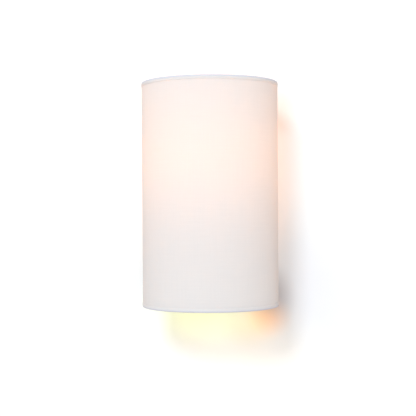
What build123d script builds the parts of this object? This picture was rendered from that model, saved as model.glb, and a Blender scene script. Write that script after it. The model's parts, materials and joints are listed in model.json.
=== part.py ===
from build123d import *
import os
from math import atan2, cos, degrees, pi, radians, sin, sqrt, tan

os.makedirs("parts", exist_ok=True)

# A wall light.  A plain fabric drum stands close to the wall and hides a small round wall
# canopy, a short hollow arm, an upright E27 lampholder and its bulb.  Millimetres.
# The wall is the plane y = 0, the light stands out towards -Y and +Z is up.  The origin is
# the centre of the bracket's back face, level with the arm.

# ---- Driving dimensions ----------------------------------------------------------------

# Shade
shade_diameter = 152.0
shade_height = 250.0
wall_gap = 25.0             # clear space between the wall and the back of the shade
arm_above_hem = 48.0        # arm's axis above the shade's lower edge
fabric_thickness = 0.5
liner_thickness = 0.5
ring_wire = 3.0
edge_tape_thickness = 0.3
edge_tape_width = 4.6       # what shows of it on the outside
edge_tape_turn = 3.0        # what hangs inside, below the wire's middle
edge_tape_glue = 0.05       # between the tape and the ring wire
edge_roll = 1.8             # radius of the bound edge, seen from outside
seam_width = 12.0
seam_thickness = 0.5
seam_angle = 125.0          # back left, clear of the arm
fitter_bore = 40.0
fitter_diameter = 54.0
fitter_thickness = 1.5
fitter_edge = 0.5           # rounding of its rim
spoke_wire = 3.0
spoke_angles = (30.0, 150.0, 270.0)
spoke_reach = 36.5          # where a spoke turns down
spoke_bend = 7.0
spoke_foot = 16.0           # upright end of a spoke, above the lower ring
weld_bite = 0.4             # how far a weld sinks one wire into the next
spoke_notch_gap = 0.5       # room for a spoke in the lower edge's tape

# Eyelet at the back of the shade
eyelet_bore = 14.0
eyelet_wall = 0.8
eyelet_flange = 5.0         # how far its flange reaches past its barrel
eyelet_clinch = 1.2         # how far its inner end is rolled out over the washer
washer_sheet = 0.6

# Bracket and canopy
bracket_sheet = 2.0
strap_height = 20.0
ear_gap = 0.3               # between the ears' corners and the canopy's wall
ear_length = 14.0
ear_corner = 3.0
bracket_bend = 1.5
tab_width = 28.0
tab_drop = 36.0             # lower edge of the tab below the arm's axis
tab_corner = 3.0
slot_spacing = 60.0
slot_length = 12.0
slot_width = 4.5
cable_hole = 12.0
canopy_diameter = 88.0
canopy_depth = 20.0
canopy_sheet = 1.0
canopy_corner = 5.0
canopy_screw_out = 8.0      # side screws' axis from the wall
m4_thread = 4.0
m4_clearance = 4.5
m4_head = 7.0
m4_head_height = 2.4
canopy_screw_length = 7.0
driver_slot = 0.9
driver_slot_depth = 1.1
earth_screw_x = 18.0
earth_tag_sheet = 0.8
earth_tag_diameter = 8.0
earth_tag_barrel = 3.2
earth_tag_reach = 8.5       # barrel's open end above the screw

# Terminal block
pole_pitch = 9.0
pole_count = 3
block_width = 28.0
block_height = 18.0
block_gap = 5.0             # between the strap's lower edge and the block
block_base = 4.0
block_housing = 8.5
housing_width = 6.0
block_depth = 12.5
block_corner = 1.0
tower_diameter = 5.8
tower_spacing = 9.0
barrel_axis = 5.5           # barrel's axis in front of the tab
barrel_diameter = 4.4
barrel_bore = 3.0
barrel_length = 15.0
clamp_screw = 2.5
clamp_screw_recess = 1.5
block_screw_diameter = 2.0
block_screw_head = 2.8
lead_entry = 4.0            # how deep a lead goes into its barrel

# Arm
arm_diameter = 10.0
arm_bore = 7.0
arm_inside_canopy = 7.0     # arm's end behind the canopy's front face
collar_diameter = 20.0
collar_height = 3.0
collar_chamfer = 1.0
washer_diameter = 16.0
washer_teeth = 12
washer_tooth = 1.2
nut_across_flats = 14.0
nut_height = 4.0
nut_chamfer = 0.9           # how far its corners are turned off
nut_chamfer_height = 0.5
bush_flange = 10.0
bush_flange_height = 1.0
bush_wall = 0.7
bush_length = 5.0
elbow_reach = 13.0
elbow_diameter = 14.0
elbow_bend = 8.0
elbow_bead = 16.0
elbow_bead_height = 3.0
elbow_bead_edge = 0.6
elbow_socket = 8.0
lock_nut_height = 3.0

# Lampholder
boss_diameter = 16.0
boss_height = 4.0
entry_depth = 5.0           # threaded entry in the boss
holder_diameter = 40.0
holder_wall = 2.0
holder_flare = 11.0         # height of the flare above the boss
flare_slope = 0.35          # how steeply the flare starts
base_height = 22.5
grub_screw = 3.0
grub_screw_edge = 0.5       # from the screw to the boss's shoulder
terminal_size = 5.0
terminal_x = 8.0
terminal_screw = 3.0
terminal_screw_head = 4.6
terminal_screw_head_height = 2.0
insert_body = 2.5
insert_flange = 1.5
skirt_thread = 39.0
skirt_shoulder_wall = 1.5
skirt_overlap = 4.5         # how far the skirt comes down over the base
skirt_wall = 2.5
skirt_lip = 2.0
skirt_mouth = 31.0
skirt_edge = 0.8            # chamfer of its upper and lower rims
skirt_ribs = 24             # finger grip round its lower part
skirt_rib_radius = 0.7
skirt_rib_margin = 1.5      # plain band above and below the ribs
shoulder_height = 30.0      # shoulder above the holder's lower face
holder_height = 56.0
shell_bore = 27.0
shell_sheet = 0.5
shell_height = 26.0
contact_window = 12.0
contact_strip = 0.5
contact_width = 6.0
contact_length = 9.6
contact_top_length = 4.0
contact_height = 4.5
ring_thread_gap = 0.3
ring_flange = 57.0
ring_flange_height = 2.2
ring_height = 9.0
ring_wall = 2.4
ring_edge = 0.8             # chamfer of its upper rim
ring_scallops = 24
ring_scallop_radius = 1.4
ring_scallop_depth = 0.7
seat_gap = 0.1              # between pieces that bear on each other but move apart

# Leads
lead_diameter = 1.9
lead_spread = 1.2           # live and neutral, each side of the arm's axis
lead_wall_room = 6.0        # leads' bend behind the arm's mouth, from the wall
lead_turn_drop = 8.0        # where a lead turns towards the arm's mouth, below its axis
bend_share = 0.45           # of the shorter run beside a bend that its arc takes up

# Bulb
bulb_length = 106.0
globe_diameter = 60.0
neck_diameter = 28.0
neck_top = 33.0             # where the neck starts to widen, above the tip
neck_foot = 28.5
glass_wall = 0.8
cap_diameter = 26.0
cap_sheet = 0.4
cap_length = 27.0
cap_thread_top = 22.0
cap_flare = 0.3
cap_foot = 4.5
tip_diameter = 9.2
tip_height = 1.2
insulator_top = 5.0
insulator_sheet = 1.5
stem_flare = 22.0
stem_foot = 24.0
stem_neck = 8.0
stem_pinch_bottom = 34.0
stem_pinch_top = 48.0
stem_rod = 3.0
stem_top = 89.0
filament_count = 4
filament_diameter = 1.8
filament_bottom_radius = 10.0
filament_top_radius = 7.0
filament_bottom = 56.0
filament_top = 92.0
support_wire = 0.6

# ---- Sizes that follow ---------------------------------------------------------------

shade_radius = shade_diameter / 2
axis_y = -(wall_gap + shade_radius)
shade_bottom = -arm_above_hem
shade_top = shade_bottom + shade_height
cloth_bottom = shade_bottom + edge_roll
cloth_height = shade_height - 2 * edge_roll
cloth_inside = shade_radius - fabric_thickness
liner_inside = cloth_inside - liner_thickness
wire_radius = ring_wire / 2
ring_radius = liner_inside - wire_radius
wire_room = wire_radius + edge_tape_glue
top_ring_z = shade_top - edge_tape_thickness - wire_room
bottom_ring_z = shade_bottom + edge_tape_thickness + wire_room
tape_outside = shade_radius + edge_tape_thickness

eyelet_radius = eyelet_bore / 2 + eyelet_wall
eyelet_flange_radius = eyelet_radius + eyelet_flange
eyelet_depth = 2 * eyelet_wall + fabric_thickness + liner_thickness + washer_sheet

arm_radius = arm_diameter / 2
canopy_inside = canopy_depth - canopy_sheet
strap_room = sqrt((canopy_diameter / 2 - canopy_sheet) ** 2 - (strap_height / 2) ** 2)
ear_outer = strap_room - ear_gap
arm_mouth = canopy_depth - arm_inside_canopy
arm_end = -axis_y - elbow_reach + elbow_socket
block_top = -strap_height / 2 - block_gap
block_middle = block_top - block_height / 2
barrel_out = bracket_sheet + barrel_axis

holder_bottom = elbow_reach + lock_nut_height
holder_radius = holder_diameter / 2
boss_top = holder_bottom + boss_height
entry_top = holder_bottom + entry_depth
base_top = holder_bottom + base_height
insert_top = base_top + insert_flange
insert_bottom = base_top - insert_body
shoulder_z = holder_bottom + shoulder_height
skirt_top = holder_bottom + holder_height
shell_floor = insert_top + shell_sheet
contact_top = insert_top + contact_height
fitter_top = shoulder_z + fitter_thickness
ring_bottom = fitter_top + seat_gap
bulb_tip_z = contact_top + seat_gap
ring_bore = skirt_thread / 2 + ring_thread_gap

shade_axis = Axis((0, axis_y, 0), (0, 0, 1))
radial_plane = Plane(origin=(0, axis_y, 0), x_dir=(1, 0, 0), z_dir=(0, -1, 0))


def wall_plane(out, x=0.0, z=0.0):
    """Plane parallel to the wall and facing away from it."""
    return Plane(origin=(x, -out, z), x_dir=(1, 0, 0), z_dir=(0, -1, 0))


def level_plane(height, x=0.0, y=axis_y):
    """Plane facing up, centred on the shade's axis unless told otherwise."""
    return Plane(origin=(x, y, height))


def side_plane(x, out, z, facing):
    """Plane across X, facing +X or -X."""
    return Plane(origin=(x, -out, z), x_dir=(0, facing, 0), z_dir=(facing, 0, 0))


def disc(plane, radius, length, mode=Mode.ADD):
    """Add or cut a round bar that stands on plane."""
    with BuildSketch(plane) as face:
        Circle(radius)
    extrude(face.sketch, amount=length, mode=mode)


def tube(plane, outer, inner, length):
    """Add a tube that stands on plane."""
    with BuildSketch(plane) as face:
        Circle(outer)
        Circle(inner, mode=Mode.SUBTRACT)
    extrude(face.sketch, amount=length)


def curved_disc(outer, sheet, radius):
    """Disc of sheet metal at the back of the shade, curved about the shade's axis."""
    with BuildPart() as made:
        tube(level_plane(-radius), outer, outer - sheet, 2 * radius)
        disc(Plane.XZ, radius, -axis_y, Mode.INTERSECT)
    return made.part


def driver_groove(plane, length, depth=driver_slot_depth):
    """Cut the screwdriver's slot into a head whose face is plane."""
    with BuildSketch(plane) as face:
        Rectangle(length, driver_slot)
    extrude(face.sketch, amount=-depth, mode=Mode.SUBTRACT)


def hex_nut(plane, height):
    """Add a hexagon nut for the arm's thread, its corners turned off at both ends."""
    with BuildSketch(plane) as face:
        RegularPolygon(nut_across_flats / 2, 6, major_radius=False)
        Circle(arm_radius, mode=Mode.SUBTRACT)
    extrude(face.sketch, amount=height)
    corner = nut_across_flats / 2 / cos(radians(30))
    with BuildSketch(Plane(origin=plane.origin, x_dir=plane.x_dir, z_dir=-plane.y_dir)) as turned:
        with BuildLine():
            Polyline(
                (0, 0),
                (corner - nut_chamfer, 0),
                (corner, nut_chamfer_height),
                (corner, height - nut_chamfer_height),
                (corner - nut_chamfer, height),
                (0, height),
                close=True,
            )
        make_face()
    revolve(turned.sketch, axis=Axis(plane.origin, plane.z_dir), mode=Mode.INTERSECT)


def polar(radius, angle):
    """Point at radius and angle from the centre."""
    return (radius * cos(radians(angle)), radius * sin(radians(angle)))


def bend_radii(points, largest):
    """Radius for each corner of a route: as large as its two runs allow, up to largest."""
    radii = []
    for before, corner, after in zip(points, points[1:], points[2:]):
        run_in = Vector(corner) - Vector(before)
        run_out = Vector(after) - Vector(corner)
        half_turn = radians(run_in.get_angle(run_out)) / 2
        shorter = min(run_in.length, run_out.length)
        radii.append(min(largest, bend_share * shorter / tan(half_turn)))
    return radii


def round_rod(points, diameter, largest_bend):
    """Add a round rod along a route of straight runs joined by arcs."""
    with BuildLine() as route:
        FilletPolyline(*points, radius=bend_radii(points, largest_bend))
    with BuildSketch(Plane(origin=route.line @ 0, z_dir=route.line % 0)) as face:
        Circle(diameter / 2)
    sweep(face.sketch, path=route.line)


# ---- Shade -----------------------------------------------------------------------------

# Cover: one turn of cloth, open at both ends, with a hole for the arm's eyelet.
with BuildPart() as shade_fabric:
    with BuildSketch(level_plane(cloth_bottom)):
        Circle(shade_radius)
        Circle(cloth_inside, mode=Mode.SUBTRACT)
    extrude(amount=cloth_height)
    disc(Plane.XZ, eyelet_radius, -axis_y, Mode.SUBTRACT)
shade_fabric.part.label = "shade_fabric"
export_step(shade_fabric.part, "parts/shade_fabric.step")

# Liner: the stiff sheet that the cloth is bonded to.
with BuildPart() as shade_liner:
    with BuildSketch(level_plane(cloth_bottom)):
        Circle(cloth_inside)
        Circle(liner_inside, mode=Mode.SUBTRACT)
    extrude(amount=cloth_height)
    disc(Plane.XZ, eyelet_radius, -axis_y, Mode.SUBTRACT)
shade_liner.part.label = "shade_liner"
export_step(shade_liner.part, "parts/shade_liner.step")

# Seam: the cloth's end lapped over its start, between the two bound edges.
seam_sweep = degrees(seam_width / shade_radius)
seam_start = seam_angle - seam_sweep / 2
with BuildPart() as shade_seam:
    with BuildSketch(level_plane(shade_bottom + edge_tape_width)):
        with BuildLine():
            CenterArc((0, 0), shade_radius, seam_start, seam_sweep)
            CenterArc((0, 0), shade_radius + seam_thickness, seam_start, seam_sweep)
            for angle in (seam_start, seam_start + seam_sweep):
                Line(polar(shade_radius, angle), polar(shade_radius + seam_thickness, angle))
        make_face()
    extrude(amount=shade_height - 2 * edge_tape_width)
shade_seam.part.label = "shade_seam"
export_step(shade_seam.part, "parts/shade_seam.step")

# Bound edge: tape folded over the rim and round the ring wire.
with BuildPart() as top_edge_tape:
    roll_centre = tape_outside - edge_roll
    fold_inside = ring_radius - wire_room
    with BuildSketch(radial_plane):
        with BuildLine():
            Line((tape_outside, shade_top - edge_tape_width), (tape_outside, shade_top - edge_roll))
            CenterArc((roll_centre, shade_top - edge_roll), edge_roll, 0, 90)
            Line((roll_centre, shade_top), (ring_radius, shade_top))
            CenterArc((ring_radius, top_ring_z), wire_room + edge_tape_thickness, 90, 90)
            Polyline(
                (fold_inside - edge_tape_thickness, top_ring_z),
                (fold_inside - edge_tape_thickness, top_ring_z - edge_tape_turn),
                (fold_inside, top_ring_z - edge_tape_turn),
                (fold_inside, top_ring_z),
            )
            CenterArc((ring_radius, top_ring_z), wire_room, 90, 90)
            Line((ring_radius, top_ring_z + wire_room), (roll_centre, top_ring_z + wire_room))
            CenterArc((roll_centre, shade_top - edge_roll), edge_roll - edge_tape_thickness, 0, 90)
            Polyline(
                (shade_radius, shade_top - edge_roll),
                (shade_radius, shade_top - edge_tape_width),
                (tape_outside, shade_top - edge_tape_width),
            )
        make_face()
    revolve(axis=shade_axis)
top_edge_tape.part.label = "top_edge_tape"
export_step(top_edge_tape.part, "parts/top_edge_tape.step")

# The lower tape is the same, turned over, and notched where the spokes reach the ring.
spoke_foot_radius = ring_radius - (ring_wire + spoke_wire) / 2 + weld_bite
with BuildPart() as bottom_edge_tape:
    add(mirror(top_edge_tape.part, about=Plane.XY.offset((shade_top + shade_bottom) / 2)))
    for angle in spoke_angles:
        notch_plane = Plane(origin=(0, axis_y, bottom_ring_z), x_dir=(*polar(1, angle), 0))
        with BuildSketch(notch_plane):
            with Locations((ring_radius / 2, 0)):
                Rectangle(ring_radius, spoke_wire + 2 * spoke_notch_gap)
        extrude(amount=edge_tape_turn, mode=Mode.SUBTRACT)
bottom_edge_tape.part.label = "bottom_edge_tape"
export_step(bottom_edge_tape.part, "parts/bottom_edge_tape.step")

# Upper ring: a wire hoop inside the bound edge.
with BuildPart() as shade_top_ring:
    with Locations((0, axis_y, top_ring_z)):
        Torus(ring_radius, wire_radius)
shade_top_ring.part.label = "shade_top_ring"
export_step(shade_top_ring.part, "parts/shade_top_ring.step")

# Carrier: the fitter that sits on the lampholder, three bent drop spokes and the lower
# ring, welded into one.
spoke_z = shoulder_z - spoke_wire / 2 + weld_bite
spoke_start = (holder_diameter / 2 + skirt_shoulder_wall + fitter_diameter / 2) / 2
with BuildPart() as shade_carrier:
    with BuildSketch(level_plane(shoulder_z)):
        Circle(fitter_diameter / 2)
        Circle(fitter_bore / 2, mode=Mode.SUBTRACT)
    extrude(amount=fitter_thickness)
    fillet(shade_carrier.edges().group_by(SortBy.LENGTH)[-1], radius=fitter_edge)
    with Locations((0, axis_y, bottom_ring_z)):
        Torus(ring_radius, wire_radius)
    for angle in spoke_angles:
        reach = [
            (spoke_start, spoke_z),
            (spoke_reach, spoke_z),
            (spoke_foot_radius, bottom_ring_z + spoke_foot),
            (spoke_foot_radius, bottom_ring_z),
        ]
        along = Vector(*polar(1, angle))
        round_rod([Vector(0, axis_y, z) + along * r for r, z in reach], spoke_wire, spoke_bend)
shade_carrier.part.label = "shade_carrier"
export_step(shade_carrier.part, "parts/shade_carrier.step")

# Eyelet: a flange curved to the shade's back, a barrel through cloth and liner, and its end
# rolled out over the washer.
eyelet_flange_disc = curved_disc(shade_radius + eyelet_wall, eyelet_wall, eyelet_flange_radius)
eyelet_barrel = curved_disc(shade_radius + eyelet_wall, eyelet_depth, eyelet_radius)
eyelet_roll = curved_disc(liner_inside - washer_sheet, eyelet_wall, eyelet_radius + eyelet_clinch)
with BuildPart() as arm_eyelet:
    add(eyelet_flange_disc)
    add(eyelet_barrel)
    add(eyelet_roll)
    disc(Plane.XZ, eyelet_bore / 2, -axis_y, Mode.SUBTRACT)
arm_eyelet.part.label = "arm_eyelet"
export_step(arm_eyelet.part, "parts/arm_eyelet.step")

# Its washer on the inside, curved the same way.
washer_disc = curved_disc(liner_inside, washer_sheet, eyelet_flange_radius)
with BuildPart() as eyelet_washer:
    add(washer_disc)
    disc(Plane.XZ, eyelet_radius, -axis_y, Mode.SUBTRACT)
eyelet_washer.part.label = "eyelet_washer"
export_step(eyelet_washer.part, "parts/eyelet_washer.step")

# ---- Bracket and canopy ----------------------------------------------------------------

# Bracket: one bent strap with screw slots, cable hole, tapped ears and a tab for the block.
with BuildPart() as wall_bracket:
    with BuildSketch(Plane.XY.offset(-strap_height / 2)):
        with Locations((0, -ear_length / 2)):
            Rectangle(2 * ear_outer, ear_length)
        with Locations((0, -(bracket_sheet + ear_length) / 2)):
            Rectangle(2 * (ear_outer - bracket_sheet), ear_length - bracket_sheet, mode=Mode.SUBTRACT)
    extrude(amount=strap_height)
    fillet(wall_bracket.edges().filter_by(Axis.Z).group_by(Axis.Y)[-2], radius=bracket_bend)
    fillet(wall_bracket.edges().filter_by(Axis.Z).group_by(Axis.Y)[-1], radius=bracket_bend + bracket_sheet)
    fillet(wall_bracket.edges().filter_by(Axis.X).group_by(Axis.Y)[0], radius=ear_corner)
    with BuildSketch(Plane.XZ):
        with Locations((0, -(strap_height / 2 + tab_drop) / 2)):
            Rectangle(tab_width, tab_drop - strap_height / 2)
    extrude(amount=bracket_sheet)
    fillet(wall_bracket.edges().filter_by(Axis.Y).group_by(Axis.Z)[0], radius=tab_corner)
    with BuildSketch(Plane.XZ):
        with GridLocations(slot_spacing, 1, 2, 1):
            SlotOverall(slot_length, slot_width)
        Circle(cable_hole / 2)
        with Locations((earth_screw_x, 0)):
            Circle(m4_thread / 2)
        with Locations((pole_pitch / 2, block_middle)):
            Circle(block_screw_diameter / 2)
    extrude(amount=bracket_sheet, mode=Mode.SUBTRACT)
    disc(side_plane(-ear_outer, canopy_screw_out, 0, 1), m4_thread / 2, 2 * ear_outer, Mode.SUBTRACT)
wall_bracket.part.label = "wall_bracket"
export_step(wall_bracket.part, "parts/wall_bracket.step")

# Canopy: a pressed cup, open to the wall, with the arm's hole and two side screw holes.
with BuildPart() as wall_canopy:
    disc(Plane.XZ, canopy_diameter / 2, canopy_depth)
    fillet(wall_canopy.faces().sort_by(Axis.Y)[0].edges(), radius=canopy_corner)
    offset(amount=-canopy_sheet, openings=wall_canopy.faces().sort_by(Axis.Y)[-1])
    disc(Plane.XZ, arm_radius, canopy_depth, Mode.SUBTRACT)
    disc(
        side_plane(-canopy_diameter / 2, canopy_screw_out, 0, 1),
        m4_clearance / 2,
        canopy_diameter,
        Mode.SUBTRACT,
    )
wall_canopy.part.label = "wall_canopy"
export_step(wall_canopy.part, "parts/wall_canopy.step")

# Side screws: cheese heads that bear on the canopy's rim and bite in the ears.
with BuildPart() as canopy_screws:
    for side in (1, -1):
        head_plane = side_plane(side * canopy_diameter / 2, canopy_screw_out, 0, side)
        disc(head_plane, m4_head / 2, m4_head_height)
        disc(head_plane, m4_thread / 2, -canopy_screw_length)
        driver_groove(head_plane.offset(m4_head_height), m4_head)
canopy_screws.part.label = "canopy_screws"
export_step(canopy_screws.part, "parts/canopy_screws.step")

# Earth tag: a ring under the screw's head, with a crimp barrel that points up.
with BuildPart() as earth_tag:
    tag_plane = wall_plane(bracket_sheet, earth_screw_x)
    barrel_foot = earth_tag_diameter / 2 - earth_tag_sheet
    disc(tag_plane, earth_tag_diameter / 2, earth_tag_sheet)
    disc(
        level_plane(barrel_foot, earth_screw_x, -(bracket_sheet + earth_tag_barrel / 2)),
        earth_tag_barrel / 2,
        earth_tag_reach - barrel_foot,
    )
    disc(
        level_plane(barrel_foot + earth_tag_sheet, earth_screw_x, -(bracket_sheet + earth_tag_barrel / 2)),
        lead_diameter / 2,
        earth_tag_reach - barrel_foot,
        Mode.SUBTRACT,
    )
    disc(tag_plane, m4_thread / 2, earth_tag_sheet, Mode.SUBTRACT)
earth_tag.part.label = "earth_tag"
export_step(earth_tag.part, "parts/earth_tag.step")

with BuildPart() as earth_screw:
    earth_head_plane = wall_plane(bracket_sheet + earth_tag_sheet, earth_screw_x)
    disc(earth_head_plane, earth_tag_diameter / 2 - earth_tag_sheet, m4_head_height)
    disc(earth_head_plane, m4_thread / 2, -(bracket_sheet + earth_tag_sheet))
    driver_groove(earth_head_plane.offset(m4_head_height), m4_head)
earth_screw.part.label = "earth_screw"
export_step(earth_screw.part, "parts/earth_screw.step")

# Terminal block: three barrel housings on a base, with two screw towers on each.
block_plane = wall_plane(bracket_sheet, z=block_middle)
with BuildPart() as terminal_block:
    with BuildSketch(block_plane):
        RectangleRounded(block_width, block_height, block_corner)
    extrude(amount=block_base)
    with BuildSketch(block_plane):
        with GridLocations(pole_pitch, 1, pole_count, 1):
            Rectangle(housing_width, block_height)
    extrude(amount=block_housing)
    with BuildSketch(block_plane):
        with GridLocations(pole_pitch, tower_spacing, pole_count, 2):
            Circle(tower_diameter / 2)
    extrude(amount=block_depth)
    with BuildSketch(level_plane(block_top - block_height, 0, -barrel_out)):
        with GridLocations(pole_pitch, 1, pole_count, 1):
            Circle(barrel_diameter / 2)
    extrude(amount=block_height, mode=Mode.SUBTRACT)
    with BuildSketch(block_plane.offset(barrel_axis)):
        with GridLocations(pole_pitch, tower_spacing, pole_count, 2):
            Circle(clamp_screw / 2)
    extrude(amount=block_depth, mode=Mode.SUBTRACT)
    with BuildSketch(block_plane):
        with GridLocations(pole_pitch, 1, pole_count - 1, 1):
            Circle(block_screw_diameter / 2)
    extrude(amount=block_base, mode=Mode.SUBTRACT)
terminal_block.part.label = "terminal_block"
export_step(terminal_block.part, "parts/terminal_block.step")

with BuildPart() as terminal_barrels:
    with BuildSketch(level_plane(block_middle - barrel_length / 2, 0, -barrel_out)):
        with GridLocations(pole_pitch, 1, pole_count, 1):
            Circle(barrel_diameter / 2)
            Circle(barrel_bore / 2, mode=Mode.SUBTRACT)
    extrude(amount=barrel_length)
    with BuildSketch(block_plane.offset(barrel_axis)):
        with GridLocations(pole_pitch, tower_spacing, pole_count, 2):
            Circle(clamp_screw / 2)
    extrude(amount=barrel_diameter, mode=Mode.SUBTRACT)
terminal_barrels.part.label = "terminal_barrels"
export_step(terminal_barrels.part, "parts/terminal_barrels.step")

with BuildPart() as terminal_screws:
    clamp_screw_tip = barrel_axis + lead_diameter / 2 + seat_gap
    with BuildSketch(block_plane.offset(clamp_screw_tip)):
        with GridLocations(pole_pitch, tower_spacing, pole_count, 2):
            Circle(clamp_screw / 2)
    extrude(amount=block_depth - clamp_screw_recess - clamp_screw_tip)
    with BuildSketch(block_plane.offset(block_depth - clamp_screw_recess)):
        with GridLocations(pole_pitch, tower_spacing, pole_count, 2):
            Rectangle(clamp_screw, driver_slot)
    extrude(amount=-driver_slot_depth, mode=Mode.SUBTRACT)
terminal_screws.part.label = "terminal_screws"
export_step(terminal_screws.part, "parts/terminal_screws.step")

# Block screw: in one of the two holes between the poles.
with BuildPart() as block_screw:
    screw_face = wall_plane(bracket_sheet + block_base, pole_pitch / 2, block_middle)
    disc(screw_face, block_screw_head / 2, m4_head_height)
    disc(screw_face, block_screw_diameter / 2, -(bracket_sheet + block_base))
    driver_groove(screw_face.offset(m4_head_height), block_screw_head)
block_screw.part.label = "block_screw"
export_step(block_screw.part, "parts/block_screw.step")

# ---- Arm -------------------------------------------------------------------------------

with BuildPart() as arm_tube:
    tube(wall_plane(arm_mouth), arm_radius, arm_bore / 2, arm_end - arm_mouth)
arm_tube.part.label = "arm_tube"
export_step(arm_tube.part, "parts/arm_tube.step")

with BuildPart() as arm_collar:
    tube(wall_plane(canopy_depth), collar_diameter / 2, arm_radius, collar_height)
    chamfer(arm_collar.faces().sort_by(Axis.Y)[0].outer_wire().edges(), length=collar_chamfer)
arm_collar.part.label = "arm_collar"
export_step(arm_collar.part, "parts/arm_collar.step")

# Toothed washer: bites the canopy from inside.
with BuildPart() as arm_washer:
    with BuildSketch(wall_plane(canopy_inside)):
        Circle(washer_diameter / 2)
        with PolarLocations(washer_diameter / 2, washer_teeth):
            Rectangle(washer_tooth, washer_tooth, mode=Mode.SUBTRACT)
        Circle(arm_radius, mode=Mode.SUBTRACT)
    extrude(amount=-canopy_sheet)
arm_washer.part.label = "arm_washer"
export_step(arm_washer.part, "parts/arm_washer.step")

with BuildPart() as arm_nut:
    hex_nut(wall_plane(canopy_inside - canopy_sheet - nut_height), nut_height)
arm_nut.part.label = "arm_nut"
export_step(arm_nut.part, "parts/arm_nut.step")

with BuildPart() as tube_bush:
    bush_bore = arm_bore / 2 - bush_wall
    tube(wall_plane(arm_mouth), bush_flange / 2, bush_bore, -bush_flange_height)
    tube(wall_plane(arm_mouth), arm_bore / 2, bush_bore, bush_length)
tube_bush.part.label = "tube_bush"
export_step(tube_bush.part, "parts/tube_bush.step")

# Elbow: a cast bend with a bead and a threaded socket at each end.
elbow_route = [(0, axis_y + elbow_reach, 0), (0, axis_y, 0), (0, axis_y, elbow_reach)]
with BuildPart() as arm_elbow:
    round_rod(elbow_route, elbow_diameter, elbow_bend)
    elbow_mouth = wall_plane(-axis_y - elbow_reach)
    elbow_top = level_plane(elbow_reach)
    for mouth, inwards in ((elbow_mouth, 1), (elbow_top, -1)):
        disc(mouth, elbow_bead / 2, inwards * elbow_bead_height)
    bead_rims = arm_elbow.edges().filter_by(lambda edge: abs(edge.length - pi * elbow_bead) < elbow_bead_edge)
    chamfer(bead_rims, length=elbow_bead_edge)
    for mouth, inwards in ((elbow_mouth, 1), (elbow_top, -1)):
        disc(mouth, arm_radius, inwards * elbow_socket, Mode.SUBTRACT)
    with BuildLine(Plane.YZ) as lead_way:
        FilletPolyline((axis_y + elbow_reach, 0), (axis_y, 0), (axis_y, elbow_reach), radius=elbow_bend)
    with BuildSketch(elbow_mouth):
        Circle(arm_bore / 2)
    sweep(path=lead_way.line, mode=Mode.SUBTRACT)
arm_elbow.part.label = "arm_elbow"
export_step(arm_elbow.part, "parts/arm_elbow.step")

# ---- Leads -----------------------------------------------------------------------------

# Live and neutral: from the block, through arm and elbow, to the holder's terminals.
lead_points = {}
for side, pole in ((-1, -1), (1, 0)):
    lead_points[side] = [
        (pole * pole_pitch, -barrel_out, block_top - lead_entry),
        (pole * pole_pitch, -barrel_out, -lead_turn_drop),
        (side * lead_spread, -lead_wall_room, 0),
        (side * lead_spread, axis_y, 0),
        (side * lead_spread, axis_y, entry_top + lead_diameter),
        (side * terminal_x, axis_y, insert_bottom - terminal_size - lead_entry),
        (side * terminal_x, axis_y, insert_bottom - terminal_size),
    ]

with BuildPart() as live_lead:
    round_rod(lead_points[-1], lead_diameter, elbow_bend)
live_lead.part.label = "live_lead"
export_step(live_lead.part, "parts/live_lead.step")

with BuildPart() as neutral_lead:
    round_rod(lead_points[1], lead_diameter, elbow_bend)
neutral_lead.part.label = "neutral_lead"
export_step(neutral_lead.part, "parts/neutral_lead.step")

# Earth: up out of the third pole and over, down into the tag's barrel.
with BuildPart() as earth_lead:
    tag_barrel_y = -(bracket_sheet + earth_tag_barrel / 2)
    earth_turn = earth_tag_reach + earth_screw_x - pole_pitch
    earth_points = [
        (pole_pitch, -barrel_out, block_top - lead_entry),
        (pole_pitch, -barrel_out, earth_turn),
        (earth_screw_x, tag_barrel_y, earth_turn),
        (earth_screw_x, tag_barrel_y, earth_tag_reach - lead_diameter),
    ]
    round_rod(earth_points, lead_diameter, (earth_screw_x - pole_pitch) / 2)
earth_lead.part.label = "earth_lead"
export_step(earth_lead.part, "parts/earth_lead.step")

# ---- Lampholder ------------------------------------------------------------------------

with BuildPart() as holder_nipple:
    nipple_bottom = elbow_reach - elbow_socket
    tube(level_plane(nipple_bottom), arm_radius, arm_bore / 2, entry_top - nipple_bottom)
holder_nipple.part.label = "holder_nipple"
export_step(holder_nipple.part, "parts/holder_nipple.step")

with BuildPart() as holder_lock_nut:
    hex_nut(level_plane(elbow_reach), lock_nut_height)
holder_lock_nut.part.label = "holder_lock_nut"
export_step(holder_lock_nut.part, "parts/holder_lock_nut.step")

# Base: a flared cap with a threaded entry in its boss.
flare_top = boss_top + holder_flare
cup_radius = holder_radius - holder_wall
grub_out = boss_diameter / 2
grub_height = boss_top - grub_screw / 2 - grub_screw_edge
with BuildPart() as holder_base:
    with BuildSketch(radial_plane):
        with BuildLine():
            Polyline((arm_radius, holder_bottom), (boss_diameter / 2, holder_bottom), (boss_diameter / 2, boss_top))
            TangentArc((boss_diameter / 2, boss_top), (holder_radius, flare_top), tangent=(1, flare_slope))
            Polyline(
                (holder_radius, flare_top),
                (holder_radius, base_top),
                (cup_radius, base_top),
                (cup_radius, flare_top + holder_wall / 2),
                (boss_diameter / 2, entry_top + holder_wall / 2),
                (arm_radius, entry_top),
                (arm_radius, holder_bottom),
            )
        make_face()
    revolve(axis=shade_axis)
    disc(side_plane(-grub_out, -axis_y, grub_height, 1), grub_screw / 2, grub_out, Mode.SUBTRACT)
holder_base.part.label = "holder_base"
export_step(holder_base.part, "parts/holder_base.step")

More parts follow.
